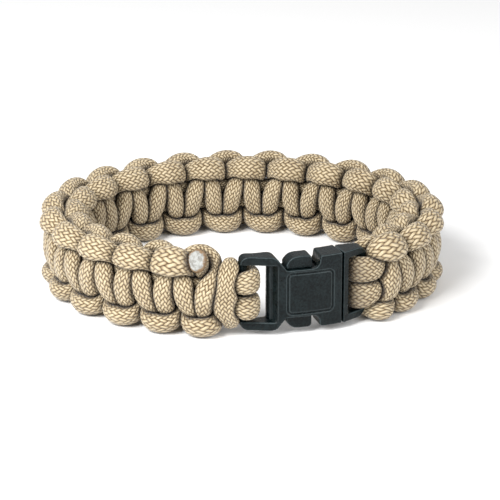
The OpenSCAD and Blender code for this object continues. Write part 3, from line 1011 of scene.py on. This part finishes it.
@dataclass(frozen=True)
class MeltFinish:
    """Off-white melted core, scorched brown round its rim."""

    white: Colour = (0.305, 0.31, 0.295)
    grey: Colour = (0.205, 0.20, 0.182)
    scorch: Colour = (0.19, 0.12, 0.062)
    grit_scale: float = 1500.0
    ragged_scale: float = 1100.0
    ragged_share: float = 0.6
    blotch_stops: tuple[float, float] = (0.42, 0.56)
    rim_stops: tuple[float, float] = (0.60, 0.66)
    roughness: float = 0.55
    relief: float = 0.00012

    def make(self, name: str) -> bpy.types.Material:
        """Builds the melt; its UV map's second value runs from the middle to the rim.

        Args:
            name: The material's name.

        Returns:
            The material.
        """
        g = Graph(name)
        split = g.node("ShaderNodeSeparateXYZ")
        g.link(g.node("ShaderNodeUVMap", uv_map="melt").outputs["UV"], split.inputs[0])
        place = g.node("ShaderNodeTexCoord").outputs["Object"]
        grit = g.noise(place, self.grit_scale, detail=4.0)
        ragged = g.noise(place, self.ragged_scale, detail=3.0)
        blotch = g.ramp(grit, tuple(zip(self.blotch_stops, (self.grey, self.white))))
        rim = g.math("ADD", split.outputs[1], g.math("MULTIPLY", ragged, self.ragged_share))
        stops = tuple(zip(self.rim_stops, ((0, 0, 0), (1, 1, 1))))
        edge = g.ramp(g.math("MULTIPLY", rim, 0.5), stops)
        g.link(g.mix(edge, blotch, (*self.scorch, 1.0)), g.shader.inputs["Base Color"])
        g.shader.inputs["Roughness"].default_value = self.roughness
        g.bump(g.math("ADD", grit, ragged), self.relief)
        return g.material


@dataclass(frozen=True)
class PlasticFinish:
    """Slate-black moulded plastic with a fine matt grain, and a painted highlight on its rounded
    edges.
    """

    colour: Colour = (0.0004, 0.0022, 0.0027)
    worn: Colour = (0.0052, 0.0098, 0.0108)
    # Painted highlight on the rounded edges
    edge: Colour = (0.070, 0.090, 0.095)
    tone_stops: tuple[float, float] = (0.42, 0.60)
    grain_scale: float = 2300.0
    grain_share: float = 0.6
    cloud_scale: float = 420.0
    roughness: float = 0.22
    grain_roughness: float = 0.16
    gloss: float = 0.17
    relief: float = 0.00009

    def make(self, name: str) -> bpy.types.Material:
        """Builds the plastic from fine grain on object coordinates.

        Args:
            name: The material's name.

        Returns:
            The material.
        """
        g = Graph(name)
        place = g.node("ShaderNodeTexCoord").outputs["Object"]
        grain = g.noise(place, self.grain_scale, detail=2.0)
        cloud = g.noise(place, self.cloud_scale, detail=3.0)
        cloud = g.math("MULTIPLY", cloud, 1 - self.grain_share)
        tone = g.math("ADD", g.math("MULTIPLY", grain, self.grain_share), cloud)
        moulded = g.ramp(tone, tuple(zip(self.tone_stops, (self.colour, self.worn))))
        # Painted highlight where the edges were rounded off
        painted_edge_highlight = g.node("ShaderNodeAttribute", attribute_name="edge").outputs["Fac"]
        g.link(g.mix(painted_edge_highlight, moulded, (*self.edge, 1.0)), g.shader.inputs["Base Color"])
        rough = g.math("ADD", self.roughness, g.math("MULTIPLY", grain, self.grain_roughness))
        g.link(rough, g.shader.inputs["Roughness"])
        g.shader.inputs["Specular IOR Level"].default_value = self.gloss
        g.bump(grain, self.relief)
        return g.material


def dress(piece: bpy.types.Object, material: bpy.types.Material) -> None:
    """Gives a piece its finish and lets it ride on the bracelet's body.

    Args:
        piece: The piece.
        material: Its finish.
    """
    piece.data.materials.clear()
    piece.data.materials.append(material)
    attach(piece, BODY)
    log.info("made %s with %d faces", piece.name, len(piece.data.polygons))


@dataclass
class MeltedEnd:
    """The rough melted disc that closes the trimmed end beside the socket, in millimetres."""

    # Share of the way from the middle to the cord's last ring, and height above it
    brim: tuple[tuple[float, float], ...] = (
        (0.98, -0.6), (1.08, -0.2), (1.12, 0.2), (1.08, 0.6), (0.99, 0.88), (0.88, 1.0),
    )
    rings: int = 9
    top: float = 0.98
    ripple: float = 0.05
    ripple_step: float = 2.5
    roughness: float = 0.09
    sideways: float = 0.35
    seed: int = 7
    finish: MeltFinish = MeltFinish()

    def profile(self) -> list[tuple[float, float]]:
        """The disc's section from under its brim to its middle.

        Returns:
            Rows with the brim's two columns.
        """
        flat = self.brim[-1][0]
        return [
            *self.brim,
            *[
                (flat * (1 - k / self.rings), self.top + self.ripple * math.sin(self.ripple_step * k))
                for k in range(1, self.rings)
            ],
        ]

    def build(self, band: Band, route: Route, rim: np.ndarray) -> None:
        """Makes the disc.

        Args:
            band: The band that the places are on.
            route: The trimmed cord.
            rim: The cord's last ring.
        """
        middle, way, sides = route.rows[-1, PLACE], route.heading[-1], len(rim)
        rng = np.random.default_rng(self.seed)
        profile = self.profile()
        points = []
        for share, lift in profile:
            rough = rng.normal(0, self.roughness, sides) * min(1.0, 2 * share)
            rough = (rough + np.roll(rough, 1) + np.roll(rough, -1))[:, None] / 2
            spread = (rim - middle) * (share + rough * self.sideways)
            points.append(middle + spread + way * (lift + rough))
        faces, shares = [list(range(sides))[::-1]], [profile[0][0]] * sides
        for ring, (inner, outer) in enumerate(zip(profile[1:], profile)):
            for k in range(sides):
                near, after = ring * sides + k, ring * sides + (k + 1) % sides
                faces.append([near, after, after + sides, near + sides])
                shares += [outer[0]] * 2 + [inner[0]] * 2
        last = (len(profile) - 1) * sides
        for k in range(sides):
            faces.append([last + k, last + (k + 1) % sides, last + sides])
            shares += [profile[-1][0]] * 2 + [0.0]
        mesh = bpy.data.meshes.new("melted_end")
        spots = np.concatenate([*points, [middle + way]])
        mesh.from_pydata(band.place(spots).tolist(), [], faces)
        layer = mesh.uv_layers.new(name="melt")
        layer.data.foreach_set("uv", np.column_stack((np.zeros(len(shares)), shares)).ravel())
        mesh.polygons.foreach_set("use_smooth", [True] * len(mesh.polygons))
        piece = bpy.data.objects.new("melted_end", mesh)
        bpy.context.scene.collection.objects.link(piece)
        dress(piece, self.finish.make("melted_core"))


@dataclass
class Cords:
    """The three cords of the weave, with the melted end of one of them."""

    weave: Weave
    spacing: float = 0.55
    finish: BraidFinish = BraidFinish()
    melted_end: MeltedEnd = field(default_factory=MeltedEnd)

    def build(self) -> None:
        """Makes every cord pressed against the others, and the melted end."""
        band = self.weave.band
        lines = {
            "front_strand": ("front_cord", self.weave.front_sections()),
            "back_strand": ("back_cord", self.weave.back_sections()),
            "core_strand": ("core_cord", self.weave.core_sections()),
        }
        spacing = self.spacing
        crowd = Crowd([Route(sections, spacing) for _, sections in lines.values()])
        sheath = self.finish.make("tan_braid")
        for own, (name, (node, _)) in enumerate(lines.items()):
            skin = CordSkin(crowd.routes[own], -band.middle)
            rings = skin.rings(crowd, own)
            piece = skin.build(name, band, rings)
            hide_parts(node)
            dress(piece, sheath)
            if name == "back_strand":
                self.melted_end.build(band, crowd.routes[own], rings[-1])


def pick(piece: bpy.types.Object) -> None:
    """Selects one piece alone and makes it active.

    Args:
        piece: The piece.
    """
    bpy.ops.object.select_all(action="DESELECT")
    piece.select_set(True)
    bpy.context.view_layer.objects.active = piece


def apply_modifiers(piece: bpy.types.Object) -> None:
    """Applies every modifier of a piece in order.

    Args:
        piece: The piece.
    """
    pick(piece)
    for modifier in list(piece.modifiers):
        bpy.ops.object.modifier_apply(modifier=modifier.name)


@dataclass
class Buckle:
    """The two halves of the fastened buckle, with softly rounded moulded edges.

    Sizes are in millimetres, and places are (along, up, out) of the band.
    """

    band: Band
    middle_at: float = 14.0
    half_thick: float = 2.8
    slot_height: float = 13.2
    plug_slot: float = 23.2
    slot_corner: float = 1.3
    rib_at: tuple[float, float] = (6.1, 0.75)
    rib_radius: float = 0.34
    rib_clear: float = 0.6
    fillet_sink: float = 0.1
    fillet_clear: float = 1.4
    round_sides: int = 48
    border_at: float = 14.5
    border_width: float = 10.8
    border_height: float = 9.8
    border_corner: float = 1.2
    border_line: float = 0.42
    border_depth: float = 0.20
    # The painted highlight along both rims of the border line: its strength, where it lies across the
    # line and its width
    border_rim_highlight: float = 0.4
    rim_at: float = 0.8
    rim_width: float = 0.35
    # Depth below the front face where the border fades out, and over how much it fades
    border_fade: tuple[float, float] = (0.9, 0.3)
    grain_size: float = 0.14
    softening: int = 20
    softness: float = 0.5
    merge_within: float = 1e-6
    # How far easing has to move an edge before it is marked for painted highlight, and until it is
    # marked in full
    edge_from: float = 0.02
    edge_full: float = 0.13
    # How far the seam's crispness reaches, the easing left there, the plug's draw and its fade
    seam_reach: float = 0.9
    seam_soft: float = 0.1
    seam_pull: float = 0.12
    seam_fade: float = 1.2
    finish: PlasticFinish = PlasticFinish()

    def build(self) -> None:
        """Makes both halves."""
        plastic = self.finish.make("slate_plastic")
        details = {
            "socket_body": ("buckle_socket", [self.slot_rib()]),
            "plug_body": ("buckle_plug", [self.slot_fillet(side) for side in (1, -1)]),
        }
        for name, (node, added) in details.items():
            piece = self.moulded(node, name, added)
            if name == "socket_body":
                self.press_border(piece)
            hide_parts(node)
            dress(piece, plastic)

    def stand(self, along: float, up: float, out: float) -> tuple[Vector, float]:
        """The point of a place, and the turn about Z of the band there."""
        point = Vector(self.band.place(np.array([[along, up, out]]))[0])
        return point, along / self.band.front_radius

    def slot_rib(self) -> bpy.types.Object:
        """The upright bead on the slanted end of the socket's cord slot.

        Returns:
            The bead.
        """
        point, turn = self.stand(self.rib_at[0], 0, self.rib_at[1])
        bpy.ops.object.select_all(action="DESELECT")
        bpy.ops.mesh.primitive_cylinder_add(
            vertices=self.round_sides // 2, radius=self.rib_radius * MM,
            depth=(self.slot_height - self.rib_clear) * MM, location=point, rotation=(0, 0, turn),
        )
        return bpy.context.active_object

    def slot_fillet(self, side: int) -> bpy.types.Object:
        """The rounding in one inner corner of the plug's cord slot.

        Args:
            side: 1 for the upper corner, -1 for the lower one.

        Returns:
            The rounding.
        """
        size, deep, sink = self.slot_corner, 2 * self.half_thick - self.fillet_clear, self.fillet_sink
        up, inwards, wide = side * self.slot_height / 2, size / 2 - sink, (size + 2 * sink) * MM
        point, turn = self.stand(self.plug_slot + inwards, up - side * inwards, 0)
        bpy.ops.object.select_all(action="DESELECT")
        bpy.ops.mesh.primitive_cube_add(
            size=1, location=point, rotation=(0, 0, turn), scale=(wide, deep * MM, wide)
        )
        corner = bpy.context.active_object
        point, turn = self.stand(self.plug_slot + size, up - side * size, 0)
        bpy.ops.object.select_all(action="DESELECT")
        bpy.ops.mesh.primitive_cylinder_add(
            vertices=self.round_sides, radius=size * MM, depth=3 * deep * MM, location=point,
            rotation=(math.pi / 2, 0, turn),
        )
        drum = bpy.context.active_object
        cut = corner.modifiers.new("round corner", "BOOLEAN")
        cut.operation = "DIFFERENCE"
        cut.object = drum
        cut.solver = "EXACT"
        apply_modifiers(corner)
        bpy.data.objects.remove(drum)
        return corner

    def moulded(self, node: str, name: str, added: list[bpy.types.Object]) -> bpy.types.Object:
        """A rounded copy of one half.

        Args:
            node: The solid to copy.
            name: The new piece's name.
            added: Details that grow together with it.

        Returns:
            The piece: merged, rebuilt in even faces and eased at its edges.
        """
        piece = bpy.data.objects.new(name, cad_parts[node].data.copy())
        bpy.context.scene.collection.objects.link(piece)
        pick(piece)
        bpy.ops.object.mode_set(mode="EDIT")
        bpy.ops.mesh.select_all(action="SELECT")
        bpy.ops.mesh.remove_doubles(threshold=self.merge_within)
        bpy.ops.object.mode_set(mode="OBJECT")
        for detail in added:
            detail.select_set(True)
        bpy.ops.object.join()
        remesh = piece.modifiers.new("even faces", "REMESH")
        remesh.mode = "VOXEL"
        remesh.voxel_size = self.grain_size * MM * 1
        remesh.use_smooth_shade = True
        apply_modifiers(piece)
        sharp = self.points(piece)
        ease = piece.modifiers.new("soft edges", "SMOOTH")
        ease.factor = self.softness
        ease.iterations = self.softening
        apply_modifiers(piece)
        self.mark_edges(piece, sharp)
        self.keep_seam(piece, sharp, self.seam_pull if node == "buckle_plug" else 0.0)
        return piece

    def points(self, piece: bpy.types.Object) -> np.ndarray:
        """A piece's points in metres.

        Args:
            piece: The piece.

        Returns:
            Its points, a row each.
        """
        points = np.empty(len(piece.data.vertices) * 3)
        piece.data.vertices.foreach_get("co", points)
        return points.reshape(-1, 3)

    def mark_edges(self, piece: bpy.types.Object, sharp: np.ndarray) -> None:
        """Marks where the piece's outer edges were rounded off, from 0 to 1, for a painted highlight.

        Args:
            piece: The eased piece.
            sharp: Its points before they were eased.
        """
        mesh = piece.data
        normals = np.empty(len(mesh.vertices) * 3)
        mesh.vertices.foreach_get("normal", normals)
        moved = np.sum((sharp - self.points(piece)) * normals.reshape(-1, 3), axis=1) / MM
        share = np.clip((moved - self.edge_from) / (self.edge_full - self.edge_from), 0, 1)
        mark = mesh.attributes.new("edge", "FLOAT", "POINT")
        mark.data.foreach_set("value", share)

    def keep_seam(self, piece: bpy.types.Object, sharp: np.ndarray, pull: float) -> None:
        """Keeps a piece crisp where the two halves meet.

        Args:
            piece: The eased piece.
            sharp: Its points before they were eased.
            pull: How far it is drawn towards the other half.
        """
        turn = np.arctan2(sharp[:, 0], self.band.front_centre * MM - sharp[:, 1])
        apart = np.abs(turn * self.band.front_radius - self.band.seam) / self.seam_reach
        share = np.clip(apart, self.seam_soft, 1)[:, None]
        kept = sharp + (self.points(piece) - sharp) * share
        drawn = pull * MM * np.clip(self.seam_fade - apart, 0, 1)
        kept[:, 0] -= drawn * np.cos(turn)
        kept[:, 1] -= drawn * np.sin(turn)
        piece.data.vertices.foreach_set("co", kept.ravel())
        piece.data.update()

    def press_border(self, piece: bpy.types.Object) -> None:
        """Presses the rounded border's line into the front face, and paints a highlight along its
        rims.

        Args:
            piece: The socket.
        """
        mesh = piece.data
        points = self.points(piece) / MM
        radius, turn = self.band.front_radius, self.middle_at / self.band.front_radius
        x, y = points[:, 0], points[:, 1] - self.band.front_centre
        reach = np.hypot(x, y)
        view = x * math.cos(turn) + y * math.sin(turn)
        view -= radius * math.sin((self.border_at - self.middle_at) / radius)
        spot = np.abs(np.column_stack((view, points[:, 2] - self.band.middle)))
        corner, line = self.border_corner, self.border_line
        past = spot - np.array([self.border_width, self.border_height]) / 2 + corner
        outside = np.linalg.norm(np.maximum(past, 0), axis=1)
        edge = np.abs(outside + np.minimum(past.max(axis=1), 0) - corner + line / 2)
        share = np.clip(1 - edge / (line / 2), 0, 1)
        below, over = self.border_fade
        front = np.clip((reach - radius - self.half_thick + below) / over, 0, 1)
        sink = self.border_depth * share**2 * (3 - 2 * share) * front / reach
        points[:, 0] -= x * sink
        points[:, 1] -= y * sink
        mesh.vertices.foreach_set("co", (points * MM).ravel())
        # Painted highlight along both rims of the line
        rim = np.abs(edge - self.rim_at * line) / (self.rim_width * line)
        lit = self.border_rim_highlight * np.clip(1 - rim, 0, 1) * front
        mark = mesh.attributes["edge"].data
        marked = np.empty(len(mark))
        mark.foreach_get("value", marked)
        mark.foreach_set("value", np.maximum(marked, lit))
        mesh.update()


@dataclass
class Studio:
    """The floor, the soft lights and the camera, in metres; lens and sensor in millimetres."""

    distance: float = 0.504
    elevation: float = 21.0
    lens: float = 154.05
    sensor: float = 36.0
    aim: tuple[float, ...] = (0.00184, 0.0, 0.00684)
    sky: float = 0.45
    floor_width: float = 4.0
    floor_tone: float = 0.92
    floor_roughness: float = 0.9
    # Name, place, width and power
    lights: tuple[tuple[str, tuple[float, ...], float, float], ...] = (
        ("key", (-0.26, -0.28, 0.33), 0.30, 4.15),
        ("fill", (0.65, -0.5, 0.38), 0.6, 5.2),
        ("back", (-0.1, 0.6, 0.6), 0.5, 0.6),
    )

    def build(self) -> None:
        """Sets up everything that isn't part of the object."""
        self.camera()
        self.floor()
        for row in self.lights:
            self.light(*row)
        world = bpy.data.worlds.new("studio")
        bpy.context.scene.world = world
        world.use_nodes = True
        shade = world.node_tree.nodes["Background"]
        shade.inputs["Color"].default_value = (1.0, 1.0, 1.0, 1.0)
        shade.inputs["Strength"].default_value = self.sky
        bpy.context.scene.view_settings.view_transform = "Standard"

    def camera(self) -> None:
        """Places the camera at the photograph's angle."""
        lens = bpy.data.cameras.new("camera")
        lens.lens = self.lens
        lens.sensor_width = self.sensor
        camera = bpy.data.objects.new("camera", lens)
        bpy.context.scene.collection.objects.link(camera)
        rise = math.radians(self.elevation)
        camera.location = (0, -self.distance * math.cos(rise), self.distance * math.sin(rise))
        look = Vector(self.aim) - camera.location
        camera.rotation_euler = look.to_track_quat("-Z", "Y").to_euler()
        bpy.context.scene.camera = camera

    def floor(self) -> None:
        """Lays a plain pale floor."""
        bpy.ops.object.select_all(action="DESELECT")
        bpy.ops.mesh.primitive_plane_add(size=self.floor_width, location=(0, 0, 0))
        floor = bpy.context.active_object
        floor.name = "floor"
        g = Graph("pale_floor")
        g.shader.inputs["Base Color"].default_value = (*[self.floor_tone] * 3, 1.0)
        g.shader.inputs["Roughness"].default_value = self.floor_roughness
        floor.data.materials.append(g.material)

    def light(self, name: str, place: tuple[float, ...], size: float, power: float) -> None:
        """Adds a soft square light that faces the bracelet.

        Args:
            name: The light's name.
            place: Where it stands.
            size: Its width.
            power: Its power in watts.
        """
        lamp = bpy.data.lights.new(name, "AREA")
        lamp.size = size
        lamp.energy = power
        lit = bpy.data.objects.new(name, lamp)
        bpy.context.scene.collection.objects.link(lit)
        lit.location = place
        lit.rotation_euler = (-Vector(place)).to_track_quat("-Z", "Y").to_euler()


def main() -> None:
    """Builds the studio, the cords and the buckle in order."""
    logging.basicConfig(level=logging.INFO, format="%(message)s")
    band = Band()
    Studio().build()
    Cords(Weave(band)).build()
    Buckle(band).build()


if __name__ == "__main__":
    main()
